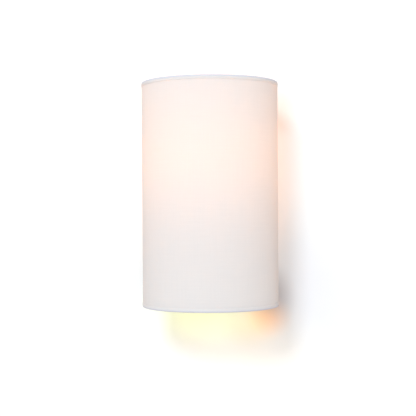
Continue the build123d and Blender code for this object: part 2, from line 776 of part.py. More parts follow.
with BuildPart() as holder_grub_screw:
    grub_plane = side_plane(-grub_out, -axis_y, grub_height, -1)
    disc(grub_plane, grub_screw / 2, -(grub_out - arm_radius))
    driver_groove(grub_plane, grub_screw)
holder_grub_screw.part.label = "holder_grub_screw"
export_step(holder_grub_screw.part, "parts/holder_grub_screw.step")

# Insert: a flanged disc, clamped between base and skirt.
with BuildPart() as holder_insert:
    disc(level_plane(insert_bottom), cup_radius, insert_body)
    disc(level_plane(base_top), holder_radius, insert_flange)
holder_insert.part.label = "holder_insert"
export_step(holder_insert.part, "parts/holder_insert.step")

with BuildPart() as holder_terminals:
    with BuildSketch(level_plane(insert_bottom - terminal_size)):
        with GridLocations(2 * terminal_x, 1, 2, 1):
            Rectangle(terminal_size, terminal_size)
    extrude(amount=terminal_size)
    for side in (1, -1):
        screw_plane = side_plane(
            side * (terminal_x + terminal_size / 2), -axis_y, insert_bottom - terminal_size / 2, side
        )
        disc(screw_plane, terminal_screw / 2, -terminal_size, Mode.SUBTRACT)
holder_terminals.part.label = "holder_terminals"
export_step(holder_terminals.part, "parts/holder_terminals.step")

with BuildPart() as holder_terminal_screws:
    for side in (1, -1):
        screw_plane = side_plane(
            side * (terminal_x + terminal_size / 2), -axis_y, insert_bottom - terminal_size / 2, side
        )
        disc(screw_plane, terminal_screw_head / 2, terminal_screw_head_height)
        disc(screw_plane, terminal_screw / 2, -terminal_size)
        driver_groove(screw_plane.offset(terminal_screw_head_height), terminal_screw_head)
holder_terminal_screws.part.label = "holder_terminal_screws"
export_step(holder_terminal_screws.part, "parts/holder_terminal_screws.step")

# Skirt: a ribbed sleeve over the base, with the shade's shoulder and a thread above it.
shoulder_radius = holder_radius + skirt_shoulder_wall
skirt_bottom = insert_top - skirt_overlap
skirt_inside = skirt_thread / 2 - skirt_wall
with BuildPart() as holder_skirt:
    with BuildSketch(radial_plane):
        with BuildLine():
            Polyline(
                (holder_radius, skirt_bottom),
                (shoulder_radius - skirt_edge, skirt_bottom),
                (shoulder_radius, skirt_bottom + skirt_edge),
                (shoulder_radius, shoulder_z),
                (skirt_thread / 2, shoulder_z),
                (skirt_thread / 2, skirt_top - skirt_edge),
                (skirt_thread / 2 - skirt_edge, skirt_top),
                (skirt_mouth / 2, skirt_top),
                (skirt_mouth / 2, skirt_top - skirt_lip),
                (skirt_inside, skirt_top - skirt_lip),
                (skirt_inside, insert_top),
                (holder_radius, insert_top),
                close=True,
            )
        make_face()
    revolve(axis=shade_axis)
    with BuildSketch(level_plane(skirt_bottom + skirt_rib_margin)):
        with PolarLocations(shoulder_radius, skirt_ribs):
            Circle(skirt_rib_radius)
    extrude(amount=shoulder_z - skirt_bottom - 2 * skirt_rib_margin)
holder_skirt.part.label = "holder_skirt"
export_step(holder_skirt.part, "parts/holder_skirt.step")

# Screw shell: a cup with a window in its floor for the centre contact.
with BuildPart() as holder_shell:
    disc(level_plane(insert_top), shell_bore / 2 + shell_sheet, shell_height)
    disc(level_plane(shell_floor), shell_bore / 2, shell_height, Mode.SUBTRACT)
    disc(level_plane(insert_top), contact_window / 2, shell_height, Mode.SUBTRACT)
holder_shell.part.label = "holder_shell"
export_step(holder_shell.part, "parts/holder_shell.step")

# Centre contact: a bent strip that the bulb's tip presses on.
with BuildPart() as centre_contact:
    with BuildSketch(radial_plane.offset(-contact_width / 2)):
        with BuildLine():
            Polyline(
                (-contact_length / 2, insert_top),
                (-contact_top_length / 2, contact_top),
                (contact_top_length / 2, contact_top),
                (contact_length / 2, insert_top),
                (contact_length / 2 - contact_strip, insert_top),
                (contact_top_length / 2 - contact_strip / 2, contact_top - contact_strip),
                (-contact_top_length / 2 + contact_strip / 2, contact_top - contact_strip),
                (-contact_length / 2 + contact_strip, insert_top),
                close=True,
            )
        make_face()
    extrude(amount=contact_width)
centre_contact.part.label = "centre_contact"
export_step(centre_contact.part, "parts/centre_contact.step")

# Shade ring: threaded on the skirt, with a scalloped flange that presses on the fitter.
with BuildPart() as shade_ring:
    with BuildSketch(level_plane(ring_bottom)):
        Circle(ring_flange / 2)
        with PolarLocations(ring_flange / 2 + ring_scallop_radius - ring_scallop_depth, ring_scallops):
            Circle(ring_scallop_radius, mode=Mode.SUBTRACT)
        Circle(ring_bore, mode=Mode.SUBTRACT)
    extrude(amount=ring_flange_height)
    tube(level_plane(ring_bottom), ring_bore + ring_wall, ring_bore, ring_height)
    chamfer(shade_ring.faces().sort_by(Axis.Z)[-1].outer_wire().edges(), length=ring_edge)
shade_ring.part.label = "shade_ring"
export_step(shade_ring.part, "parts/shade_ring.step")

# ---- Bulb ------------------------------------------------------------------------------

# Tip contact: a domed button of solder.
with BuildPart() as bulb_tip:
    with BuildSketch(radial_plane):
        with BuildLine():
            TangentArc((0, bulb_tip_z), (tip_diameter / 2, bulb_tip_z + tip_height), tangent=(1, 0))
            Polyline((tip_diameter / 2, bulb_tip_z + tip_height), (0, bulb_tip_z + tip_height), (0, bulb_tip_z))
        make_face()
    revolve(axis=shade_axis)
bulb_tip.part.label = "bulb_tip"
export_step(bulb_tip.part, "parts/bulb_tip.step")

# Insulator: a glass cone between tip and cap.
cap_radius = cap_diameter / 2
with BuildPart() as bulb_insulator:
    with BuildSketch(radial_plane):
        with BuildLine():
            Polyline(
                (0, bulb_tip_z + tip_height),
                (tip_diameter / 2, bulb_tip_z + tip_height),
                (cap_radius - insulator_sheet, bulb_tip_z + cap_foot),
                (cap_radius - insulator_sheet, bulb_tip_z + insulator_top),
                (0, bulb_tip_z + insulator_top),
                close=True,
            )
        make_face()
    revolve(axis=shade_axis)
bulb_insulator.part.label = "bulb_insulator"
export_step(bulb_insulator.part, "parts/bulb_insulator.step")

# Cap: the drawn sleeve, open at the top for the glass.
with BuildPart() as bulb_cap:
    with BuildSketch(radial_plane):
        with BuildLine():
            Polyline(
                (cap_radius - insulator_sheet, bulb_tip_z + cap_foot),
                (cap_radius, bulb_tip_z + cap_foot + insulator_sheet),
                (cap_radius, bulb_tip_z + cap_thread_top),
                (cap_radius + cap_flare, bulb_tip_z + cap_thread_top + cap_flare),
                (cap_radius + cap_flare, bulb_tip_z + cap_length),
                (cap_radius + cap_flare - cap_sheet, bulb_tip_z + cap_length),
                (cap_radius + cap_flare - cap_sheet, bulb_tip_z + cap_thread_top + cap_flare),
                (cap_radius - cap_sheet, bulb_tip_z + cap_thread_top),
                (cap_radius - cap_sheet, bulb_tip_z + cap_foot + insulator_sheet),
                (cap_radius - insulator_sheet, bulb_tip_z + insulator_top),
                close=True,
            )
        make_face()
    revolve(axis=shade_axis)
bulb_cap.part.label = "bulb_cap"
export_step(bulb_cap.part, "parts/bulb_cap.step")

# Globe: a sphere that runs down into the neck through a hollow arc, touching both.
globe_radius = globe_diameter / 2
neck_radius = neck_diameter / 2
globe_centre = bulb_length - globe_radius
drop = globe_centre - neck_top
hollow_radius = (neck_radius ** 2 + drop ** 2 - globe_radius ** 2) / (2 * (globe_radius - neck_radius))
hollow_x = neck_radius + hollow_radius
touch = atan2(-drop, hollow_x)


def globe_profile(skin):
    """Half outline of the globe, skin inside its outer surface, from the neck's foot to the top."""
    sphere = globe_radius - skin
    hollow = hollow_radius + skin
    z = bulb_tip_z + globe_centre
    join = (sphere * cos(touch), z + sphere * sin(touch))
    neck_joint = (hollow_x - hollow, bulb_tip_z + neck_top)
    turn = pi + touch / 2
    hollow_middle = (hollow_x + hollow * cos(turn), bulb_tip_z + neck_top + hollow * sin(turn))
    turn = (pi / 2 + touch) / 2
    sphere_middle = (sphere * cos(turn), z + sphere * sin(turn))
    return neck_joint, hollow_middle, join, sphere_middle, (0, z + sphere)


with BuildPart() as bulb_globe:
    with BuildSketch(radial_plane):
        with BuildLine():
            outer = globe_profile(0)
            inner = globe_profile(glass_wall)
            sleeve = cap_radius + cap_flare - cap_sheet
            Polyline(
                (sleeve, bulb_tip_z + stem_foot),
                (sleeve, bulb_tip_z + cap_length),
                (neck_radius, bulb_tip_z + neck_foot),
                outer[0],
            )
            ThreePointArc(*outer[0:3])
            ThreePointArc(*outer[2:5])
            Line(outer[4], inner[4])
            ThreePointArc(*inner[2:5])
            ThreePointArc(*inner[0:3])
            Polyline(
                inner[0],
                (neck_radius - glass_wall, bulb_tip_z + neck_foot),
                (sleeve - glass_wall, bulb_tip_z + cap_length),
                (sleeve - glass_wall, bulb_tip_z + stem_foot),
                (sleeve, bulb_tip_z + stem_foot),
            )
        make_face()
    revolve(axis=shade_axis)
bulb_globe.part.label = "bulb_globe"
export_step(bulb_globe.part, "parts/bulb_globe.step")

# Stem: flare, pinch and rod of clear glass.
with BuildPart() as bulb_stem:
    with BuildSketch(radial_plane):
        with BuildLine():
            Polyline(
                (0, bulb_tip_z + stem_foot),
                (stem_flare / 2, bulb_tip_z + stem_foot),
                (stem_flare / 2, bulb_tip_z + stem_foot + glass_wall),
                (stem_neck / 2, bulb_tip_z + stem_pinch_bottom),
                (stem_neck / 2, bulb_tip_z + stem_pinch_top),
                (stem_rod / 2, bulb_tip_z + stem_pinch_top + stem_rod),
                (stem_rod / 2, bulb_tip_z + stem_top),
                (0, bulb_tip_z + stem_top),
                close=True,
            )
        make_face()
    revolve(axis=shade_axis)
bulb_stem.part.label = "bulb_stem"
export_step(bulb_stem.part, "parts/bulb_stem.step")


filament_angles = [index * 360 / filament_count for index in range(filament_count)]


def filament_ends(angle):
    """Lower and upper end of the filament stick at angle."""
    low = (*polar(filament_bottom_radius, angle), bulb_tip_z + filament_bottom)
    high = (*polar(filament_top_radius, angle), bulb_tip_z + filament_top)
    return Vector(0, axis_y) + Vector(*low), Vector(0, axis_y) + Vector(*high)


# Filaments: coated sticks that lean in towards the top.
with BuildPart() as bulb_filaments:
    for angle in filament_angles:
        low, high = filament_ends(angle)
        disc(Plane(origin=low, z_dir=high - low), filament_diameter / 2, (high - low).length)
bulb_filaments.part.label = "bulb_filaments"
export_step(bulb_filaments.part, "parts/bulb_filaments.step")

# Support wires: from the stem to each end of each filament.
with BuildPart() as filament_wires:
    for angle in filament_angles:
        low, high = filament_ends(angle)
        for end, stem_radius, stem_z in ((low, stem_neck / 2, stem_pinch_top), (high, stem_rod / 2, stem_top)):
            flat = Vector(end.X, end.Y - axis_y)
            root = Vector(0, axis_y, bulb_tip_z + stem_z - support_wire) + flat * (stem_radius / flat.length)
            disc(Plane(origin=root, z_dir=end - root), support_wire / 2, (end - root).length)
filament_wires.part.label = "filament_wires"
export_step(filament_wires.part, "parts/filament_wires.step")

for name, points, largest in (
    ("live lead", lead_points[-1], elbow_bend),
    ("neutral lead", lead_points[1], elbow_bend),
    ("earth lead", earth_points, (earth_screw_x - pole_pitch) / 2),
):
    print(name, "bend radii", [round(radius, 1) for radius in bend_radii(points, largest)])
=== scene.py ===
import json
from math import asin, atan2, cos, hypot, pi, radians, sin, sqrt

import bpy
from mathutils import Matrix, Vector, noise


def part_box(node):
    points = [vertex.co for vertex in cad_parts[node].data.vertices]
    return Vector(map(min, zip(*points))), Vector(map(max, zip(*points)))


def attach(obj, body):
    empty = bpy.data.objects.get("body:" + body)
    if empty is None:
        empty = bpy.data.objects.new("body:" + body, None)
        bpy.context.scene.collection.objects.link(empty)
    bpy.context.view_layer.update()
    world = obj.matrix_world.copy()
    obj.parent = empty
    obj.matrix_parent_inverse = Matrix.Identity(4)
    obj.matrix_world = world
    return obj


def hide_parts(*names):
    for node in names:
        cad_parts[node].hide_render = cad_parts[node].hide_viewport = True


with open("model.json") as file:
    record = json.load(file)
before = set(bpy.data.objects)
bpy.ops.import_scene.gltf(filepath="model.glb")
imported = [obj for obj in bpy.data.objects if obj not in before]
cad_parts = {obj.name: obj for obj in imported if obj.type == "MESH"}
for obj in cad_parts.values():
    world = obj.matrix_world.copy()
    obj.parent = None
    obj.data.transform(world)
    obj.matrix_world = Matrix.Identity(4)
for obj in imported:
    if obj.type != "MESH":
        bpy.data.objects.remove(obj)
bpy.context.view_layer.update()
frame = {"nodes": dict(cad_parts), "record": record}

# ---- Sizes of the shade, in metres -----------------------------------------------------------

MM = 0.001
cloth_low, cloth_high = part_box("shade_fabric")
tape_low, tape_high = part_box("top_edge_tape")
hem_low, hem_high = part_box("bottom_edge_tape")
seam_low, seam_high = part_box("shade_seam")
top_ring_low, top_ring_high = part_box("shade_top_ring")
axis = Vector(((cloth_low.x + cloth_high.x) / 2, (cloth_low.y + cloth_high.y) / 2, 0))
cloth_radius = (cloth_high.x - cloth_low.x) / 2
tape_radius = (tape_high.x - tape_low.x) / 2
liner_inside = (top_ring_high.x - top_ring_low.x) / 2
shade_top = tape_high.z
shade_bottom = hem_low.z
shade_middle = (shade_top + shade_bottom) / 2

seam_middle = (seam_low + seam_high) / 2 - axis
seam_angle = atan2(seam_middle.y, seam_middle.x)
seam_width = 12 * MM
lap = seam_width / cloth_radius     # in radians
lap_rise = 0.45 * MM                # the cloth's end lies this far out over its start
wave_depth = 0.10 * MM              # of the slow waves of stretched cloth
wave_size = 45 * MM
cover_radius = cloth_radius - wave_depth
eyelet_hole = 10.3 * MM             # cloth is cut away inside the eyelet's flange
cloth_rows = 110
cover_columns = 320
liner_columns = 256

ring_wire_radius = 1.5 * MM
ring_radius = liner_inside - ring_wire_radius       # to the ring wire's middle
tape_roll = 1.8 * MM                # radius of the roll over the rim
tape_width = 4.6 * MM
tape_around = 1.85 * MM             # from the ring wire's middle to the tape's outer face
tape_tuck = 3.0 * MM                # the stretch turned in past the wire
tape_rows = [4.58 * MM, 4.5 * MM, 4.2 * MM, 3.4 * MM, 2.6 * MM]     # from the edge, on the outer face
tape_columns = 420
outer_face = cloth_radius - 1 * MM  # the tape is on the cloth's outside beyond this radius
crease_depth = 0.12 * MM
crease_cells = 9                    # noise cells to a radian round the shade,
crease_finer = 2.5                  # and made this many times finer
crease_height = 20 * MM             # as many cells as a radian has, upwards
seam_bulge = 0.4 * MM               # of the tape over the seam
seam_fade = 4 * MM
spoke_angles = [radians(angle) for angle in (30, 150, 270)]
spoke_notch = 2.2 * MM              # half the gap in the lower tape at a spoke
notch_start = 0.3 * MM              # above the ring wire's middle


# ---- Materials -----------------------------------------------------------------------------

white = (1, 1, 1)


def colour(rgb):
    return (*rgb, 1.0)


class Shading:
    """The node tree of a material or the world, with short calls for its nodes."""

    def __init__(self, owner):
        owner.use_nodes = True
        self.owner = owner
        self.tree = owner.node_tree
        self.tree.nodes.clear()

    def node(self, kind, inputs=None, output=0, **settings):
        """Add a node, set or link its inputs, and return one of its outputs."""
        made = self.tree.nodes.new("ShaderNode" + kind)
        for key, value in settings.items():
            setattr(made, key, value)
        for key, value in (inputs or {}).items():
            if isinstance(value, bpy.types.NodeSocket):
                self.tree.links.new(value, made.inputs[key])
            else:
                made.inputs[key].default_value = value
        return made.outputs[output]

    def math(self, operation, first, second=0.0):
        return self.node("Math", {0: first, 1: second}, operation=operation)

    def place(self):
        """Position on the object, in metres."""
        return self.node("TexCoord", output="Object")

    def along(self, letter, vector=None):
        """One coordinate, X, Y or Z, of a vector or of the position on the object."""
        return self.node("SeparateXYZ", {"Vector": vector or self.place()}, letter)

    def ray(self, kind):
        """1 for a light path of this kind, and 0 for any other."""
        return self.node("LightPath", output=kind)

    def grain(self, size, stretch=(1, 1, 1), detail=2.0, vector=None):
        """Noise whose features are about size metres across, times stretch."""
        scale = [1 / (size * s) for s in stretch]
        moved = self.node("Mapping", {"Vector": vector or self.place(), "Scale": scale})
        return self.node("TexNoise", {"Vector": moved, "Scale": 1.0, "Detail": detail})

    def between(self, factor, low, high):
        """A number that goes from low to high with factor."""
        return self.node("MapRange", {"Value": factor, "To Min": low, "To Max": high})

    def blend_colours(self, factor, first, second):
        """A colour that goes from first to second with factor."""
        ends = [end if isinstance(end, bpy.types.NodeSocket) else colour(end) for end in (first, second)]
        # A Mix node holds its colours in sockets 6 and 7, and gives the result in 2.
        return self.node("Mix", {0: factor, 6: ends[0], 7: ends[1]}, 2, data_type="RGBA")

    def bump(self, height, depth, strength):
        return self.node("Bump", {"Height": height, "Distance": depth, "Strength": strength})

    def finish(self, shader):
        """Make shader what the tree gives, and return the tree's owner."""
        kind = "World" if isinstance(self.owner, bpy.types.World) else "Material"
        end = self.tree.nodes.new("ShaderNodeOutput" + kind)
        self.tree.links.new(shader, end.inputs["Surface"])
        return self.owner


def surface(name):
    return Shading(bpy.data.materials.new(name))


def varied(s, rgb, roughness, fine, darkest, patch_size, smoother, rougher):
    """Tone with slow changes down to darkest times rgb, and roughness that changes with fine."""
    tone = s.blend_colours(s.grain(patch_size), [c * darkest for c in rgb], rgb)
    return tone, s.between(fine, roughness - smoother, roughness + rougher)


def metal(name, rgb, roughness, grain_size=0.4 * MM, stretch=(1, 1, 1)):
    """Bare or plated metal with a fine, uneven grain."""
    s = surface(name)
    fine = s.grain(grain_size, stretch, detail=3.0)
    tone, rough = varied(s, rgb, roughness, fine, darkest=0.90, patch_size=9 * MM,
                         smoother=0.08, rougher=0.10)
    return s.finish(s.node("BsdfPrincipled", {
        "Base Color": tone,
        "Metallic": 1.0,
        "Roughness": rough,
        "Normal": s.bump(fine, 0.01 * MM, strength=0.5),
    }))


def plastic(name, rgb, roughness, texture=0.25 * MM, depth=0.012 * MM):
    """Moulded plastic or paint with a faint texture and slow changes of tone."""
    s = surface(name)
    fine = s.grain(texture)
    tone, rough = varied(s, rgb, roughness, fine, darkest=0.95, patch_size=14 * MM,
                         smoother=0.06, rougher=0.08)
    return s.finish(s.node("BsdfPrincipled", {
        "Base Color": tone,
        "Roughness": rough,
        "Normal": s.bump(fine, depth, strength=0.6),
    }))


weave_repeat = 0.42 * MM    # two threads of the cloth
weave_depth = 0.05 * MM
slub_width = 1.3 * MM
slub_stretch = 30           # a slub is this many times as long as wide
rim_fade = (1.4 * MM, 2.4 * MM)     # from the edge: the tape's painted dark rim, where no light passes, is full here, and ends here


def cloth_place(s):
    """Position on the drum as (distance round it, height, 0), in metres."""
    across = s.math("SUBTRACT", s.along("X"), axis.x)
    deep = s.math("SUBTRACT", s.along("Y"), axis.y)
    angle = s.math("ARCTAN2", deep, across)
    return s.node("CombineXYZ", {"X": s.math("MULTIPLY", angle, cloth_radius), "Y": s.along("Z")})


def weave(s, flat):
    """Height of a plain weave, from 0 to 1."""
    turn = 2 * pi / weave_repeat
    warp = s.math("SINE", s.math("MULTIPLY", s.along("X", flat), turn))
    weft = s.math("SINE", s.math("MULTIPLY", s.along("Y", flat), turn))
    return s.between(s.math("MULTIPLY", warp, weft), 0.0, 1.0)


def woven(s, rgb, through_rgb, through, slub):
    """Shader of woven cloth that lets light through, with slubs along both sets of threads."""
    flat = cloth_place(s)
    warp_slub = s.grain(slub_width, (1, slub_stretch, 1), vector=flat)
    weft_slub = s.grain(slub_width, (slub_stretch, 1, 1), vector=flat)
    slubs = s.math("MULTIPLY", s.math("ADD", warp_slub, weft_slub), 0.5)
    thin = s.between(slubs, 1 - slub, 1.0)
    facing = s.node("VectorMath", {0: rgb, "Scale": thin}, operation="SCALE")
    inner = s.blend_colours(slubs, [c * (1 - 2 * slub) for c in through_rgb], through_rgb)
    normal = s.bump(s.math("ADD", weave(s, flat), slubs), weave_depth, strength=0.35)
    front = s.node("BsdfDiffuse", {"Color": facing, "Roughness": 0.3, "Normal": normal})
    passed = s.node("BsdfTranslucent", {"Color": inner, "Normal": normal})
    return s.node("MixShader", {"Fac": through, 1: front, 2: passed})


def cloth(name, rgb, through_rgb, through, slub=0.05):
    s = surface(name)
    return s.finish(woven(s, rgb, through_rgb, through, slub))


def bound_edge(name, rgb, painted_rim_shade_rgb, through_rgb, through, slub=0.04):
    """The same cloth as a tape.  Its rim, which the wire backs, lets no light through and is painted darker
    there as painted shade for the glow that the wire blocks.
    """
    s = surface(name)
    half_height = (shade_top - shade_bottom) / 2
    off_middle = s.math("ABSOLUTE", s.math("SUBTRACT", s.along("Z"), shade_middle))
    rim = s.node("MapRange", {
        "Value": off_middle,
        "From Min": half_height - rim_fade[1],
        "From Max": half_height - rim_fade[0],
    })
    # Painted shade: the colour darkens towards the rim colour where the wire blocks the glow.
    facing = s.blend_colours(rim, rgb, painted_rim_shade_rgb)
    lit = s.math("MULTIPLY", through, s.math("SUBTRACT", 1.0, rim))
    return s.finish(woven(s, facing, through_rgb, lit, slub))


neck_rise = 0.18            # how far the neck's light has risen from dim to full
dim_light = 0.25            # of the full light
# Painted shade at the globe's limb, with this power and colour:
limb_shade_power = 3.0
painted_limb_shade_rgb = (0.10, 0.05, 0.015)


def glow(name, rgb, light_rgb, strength, low, high):
    """Satin glass lit from inside, brightest from high upwards and dimmer at the neck, with painted shade at
    the limb.
    """
    s = surface(name)
    rise = s.node("MapRange", {
        "Value": s.along("Z"),
        "From Min": low,
        "From Max": high,
        "To Min": neck_rise,
        "To Max": 1.0,
    }, interpolation_type="SMOOTHSTEP")
    light = s.blend_colours(rise, [c * dim_light for c in light_rgb], light_rgb)
    # Painted shade: the glow darkens towards the limb colour where the globe is seen edge-on.
    edge = s.math("POWER", s.node("LayerWeight", {"Blend": 0.5}, "Facing"), limb_shade_power)
    return s.finish(s.node("BsdfPrincipled", {
        "Base Color": colour(rgb),
        "Roughness": s.between(s.grain(0.5 * MM), 0.28, 0.38),
        "Emission Color": s.blend_colours(edge, light, painted_limb_shade_rgb),
        "Emission Strength": strength,
    }))


def clear_glass(name):
    s = surface(name)
    return s.finish(s.node("BsdfPrincipled", {
        "Base Color": colour((0.96, 0.98, 0.98)),
        "Roughness": s.between(s.grain(2 * MM), 0.0, 0.06),
        "Transmission Weight": 1.0,
        "IOR": 1.5,
    }))


def phosphor(name):
    s = surface(name)
    return s.finish(s.node("BsdfPrincipled", {
        "Base Color": s.blend_colours(s.grain(0.3 * MM), (0.90, 0.66, 0.20), (0.98, 0.80, 0.35)),
        "Roughness": 0.6,
        "Emission Color": colour((1.0, 0.66, 0.28)),
        "Emission Strength": 4.0,
    }))


stripe_repeat = 1.6 * MM
stripe_level = 0.1          # the yellow is where a sine of the depth is above this


def earth_insulation(name):
    """Green insulation with yellow stripes that follow each other along Y."""
    s = surface(name)
    wave = s.math("SINE", s.math("MULTIPLY", s.along("Y"), 2 * pi / stripe_repeat))
    stripe = s.math("GREATER_THAN", wave, stripe_level)
    return s.finish(s.node("BsdfPrincipled", {
        "Base Color": s.blend_colours(stripe, (0.09, 0.42, 0.07), (0.85, 0.72, 0.08)),
        "Roughness": s.between(s.grain(0.4 * MM), 0.38, 0.5),
    }))


through_cloth = (0.965, 0.78, 0.60)     # the colour of light that has passed the cloth
globe_low, globe_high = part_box("bulb_globe")
globe_middle = globe_high.z - (globe_high.x - globe_low.x) / 2
looks = {
    "zinc_steel": metal("zinc_steel", (0.62, 0.62, 0.60), 0.38, grain_size=1.2 * MM),
    "canopy_white": plastic("canopy_white", (0.84, 0.84, 0.82), 0.42, texture=0.5 * MM, depth=0.02 * MM),
    "nickel": metal("nickel", (0.66, 0.64, 0.60), 0.24, grain_size=0.3 * MM, stretch=(1, 20, 1)),
    "brass": metal("brass", (0.72, 0.52, 0.22), 0.30),
    "block_plastic": plastic("block_plastic", (0.80, 0.80, 0.76), 0.45),
    "bush_plastic": plastic("bush_plastic", (0.02, 0.02, 0.02), 0.45),
    "holder_plastic": plastic("holder_plastic", (0.84, 0.84, 0.81), 0.34),
    "insert_plastic": plastic("insert_plastic", (0.76, 0.72, 0.62), 0.40),
    "lead_brown": plastic("lead_brown", (0.13, 0.05, 0.02), 0.42),
    "lead_blue": plastic("lead_blue", (0.02, 0.10, 0.40), 0.42),
    "lead_earth": earth_insulation("lead_earth"),
    "shade_cloth": cloth("shade_cloth", (0.83, 0.87, 0.92), through_cloth, through=0.38),
    "shade_liner": cloth("shade_liner", (0.86, 0.87, 0.88), through_cloth, through=0.40, slub=0.01),
    # The tape's darker rim colour is painted shade, where the wire blocks the glow from inside.
    "edge_tape": bound_edge("edge_tape", (0.92, 0.94, 0.98), (0.62, 0.605, 0.665), (0.98, 0.85, 0.74),
                            through=0.44),
    "shade_wire": plastic("shade_wire", (0.84, 0.84, 0.82), 0.36),
    "globe_glass": glow("globe_glass", (0.80, 0.78, 0.74), (1.0, 0.60, 0.28), 7.5, globe_low.z, globe_middle),
    "stem_glass": clear_glass("stem_glass"),
    "filament": phosphor("filament"),
    "filament_wire": metal("filament_wire", (0.70, 0.70, 0.72), 0.2),
    "cap_metal": metal("cap_metal", (0.72, 0.71, 0.68), 0.26, grain_size=0.5 * MM, stretch=(1, 1, 0.2)),
    "cap_insulator": plastic("cap_insulator", (0.012, 0.012, 0.016), 0.18),
    "solder": metal("solder", (0.55, 0.55, 0.56), 0.42, grain_size=0.8 * MM),
}
slot_of = {part["node"]: part["material_slot"] for part in frame["record"]["subparts"]}
for node, obj in frame["nodes"].items():
    obj.data.materials.clear()
    obj.data.materials.append(looks[slot_of[node]])


# ---- Meshes ----------------------------------------------------------------------------------

crease_angle = radians(40)


def clamped(value):
    return max(0.0, min(1.0, value))


def steps(low, high, count):
    return [low + (high - low) * index / count for index in range(count + 1)]


def ring_of(count):
    """Angles all the way round."""
    return [2 * pi * index / count for index in range(count)]


def angle_between(first, second):
    """The angle from one direction to the other, whichever way is shorter."""
    return abs((first - second + pi) % (2 * pi) - pi)


def turned(profile, angles, whole=True, closed=False, shape=None):
    """Points and faces of a profile of (radius, height) turned about the shade's axis.

    A profile that runs upwards faces outwards.  shape moves a point, given (radius, angle, height)."""
    points = []
    for angle in angles:
        for radius, height in profile:
            r, z = shape(radius, angle, height) if shape else (radius, height)
            points.append((axis.x + r * cos(angle), axis.y + r * sin(angle), z))
    rows, columns = len(profile), len(angles)
    faces = []
    for i in range(columns if whole else columns - 1):
        for j in range(rows if closed else rows - 1):
            k, n = (i + 1) % columns, (j + 1) % rows
            faces.append((i * rows + j, k * rows + j, k * rows + n, i * rows + n))
    return points, faces


def mesh_object(name, points, faces):
    mesh = bpy.data.meshes.new(name)
    mesh.from_pydata(points, [], faces)
    obj = bpy.data.objects.new(name, mesh)
    bpy.context.scene.collection.objects.link(obj)
    return obj


def piece(name, points, faces, slot, stands_for, body="fitting", crisp=False):
    """A smooth mesh piece that rides on body, wears slot's material and stands for CAD nodes."""
    obj = mesh_object(name, points, faces)
    obj.data.shade_smooth()
    if crisp:
        obj.data.set_sharp_from_angle(angle=crease_angle)
    obj.data.materials.append(looks[slot])
    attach(obj, body)
    if stands_for:
        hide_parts(*stands_for)
    return obj


# ---- Shade -------------------------------------------------------------------------------------

def without_eyelet(points, faces):
    """Leave out the faces round the arm."""
    kept = []
    for face in faces:
        middle = sum((Vector(points[k]) for k in face), Vector()) / len(face)
        if middle.y < axis.y or hypot(middle.x, middle.z) > eyelet_hole:
            kept.append(face)
    return kept


def make_cover():
    """One turn of cloth, its end lapped over its start."""
    start = seam_angle - lap / 2
    angles = steps(start, start + 2 * pi + lap, cover_columns)

    def lapped(radius, angle, height):
        spot = Vector((radius * cos(angle), radius * sin(angle), height)) / wave_size
        waves = wave_depth * noise.noise(spot)
        into_lap = (angle - start - 2 * pi + lap / 2) / (lap / 2)
        return radius + waves + lap_rise * clamped(into_lap), height

    profile = [(cover_radius, z) for z in steps(cloth_low.z, cloth_high.z, cloth_rows)]
    points, faces = turned(profile, angles, whole=False, shape=lapped)
    return piece("shade_cover", points, without_eyelet(points, faces), "shade_cloth",
                 ["shade_fabric", "shade_seam"])


def make_liner():
    """The stiff sheet inside the cloth, seen from inside."""
    profile = [(liner_inside, z) for z in reversed(steps(cloth_low.z, cloth_high.z, cloth_rows))]
    points, faces = turned(profile, ring_of(liner_columns))
    return piece("liner", points, without_eyelet(points, faces), "shade_liner", ["shade_liner"])


def seam_share(angle):
    """1 on the seam, falling to 0 beside it."""
    beside = angle_between(angle, seam_angle) * cloth_radius - seam_width / 2
    return clamped(1 - beside / seam_fade)


def at_a_spoke(point):
    """Whether a point of the lower tape lies where a spoke comes down to the ring."""
    across = Vector(point) - axis
    angle = atan2(across.y, across.x)
    away = min(angle_between(angle, spoke) for spoke in spoke_angles) * ring_radius
    above = shade_bottom + tape_around + notch_start
    return point[2] > above and hypot(across.x, across.y) < ring_radius and away < spoke_notch


def make_tape(name, edge, inwards, node, low, high):
    """Cloth rolled over the rim and round the ring wire, a little uneven.

    edge is the rim's height, and inwards is 1 or -1, the way from it to the shade's middle."""
    quarter = steps(0, pi / 2, 7)
    outside = [(cover_radius, edge + inwards * tape_width)]
    outside += [(tape_radius, edge + inwards * z) for z in tape_rows]
    over = [(tape_radius - tape_roll + tape_roll * cos(a), edge + inwards * (tape_roll - tape_roll * sin(a)))
            for a in quarter]
    down = [(ring_radius - tape_around * sin(a), edge + inwards * tape_around * (1 - cos(a)))
            for a in quarter]
    tuck = [(ring_radius - tape_around, edge + inwards * (tape_around + tape_tuck * share))
            for share in (0.4, 0.8, 1.0)]
    profile = outside + over + down + tuck
    if inwards > 0:
        profile = profile[::-1]

    def soft(radius, angle, height):
        spot = Vector((cos(angle), sin(angle), height / crease_height)) * crease_cells
        crease = noise.noise(spot * crease_finer) * crease_depth
        bulge = seam_bulge * seam_share(angle) if radius > outer_face else 0.0
        swell = crease if radius > ring_radius else crease / 2
        z = max(low, min(high, height + crease / 2))
        return min(radius + swell + bulge, tape_radius + bulge), z

    points, faces = turned(profile, ring_of(tape_columns), shape=soft)
    if inwards > 0:
        faces = [face for face in faces if not at_a_spoke(points[face[0]])]
    return piece(name, points, faces, "edge_tape", [node])


cover = make_cover()
make_liner()
top_tape = make_tape("top_tape", shade_top, -1, "top_edge_tape", tape_low.z, tape_high.z)
hem_tape = make_tape("hem_tape", shade_bottom, 1, "bottom_edge_tape", hem_low.z, hem_high.z)


# ---- Threads and welds -----------------------------------------------------------------------

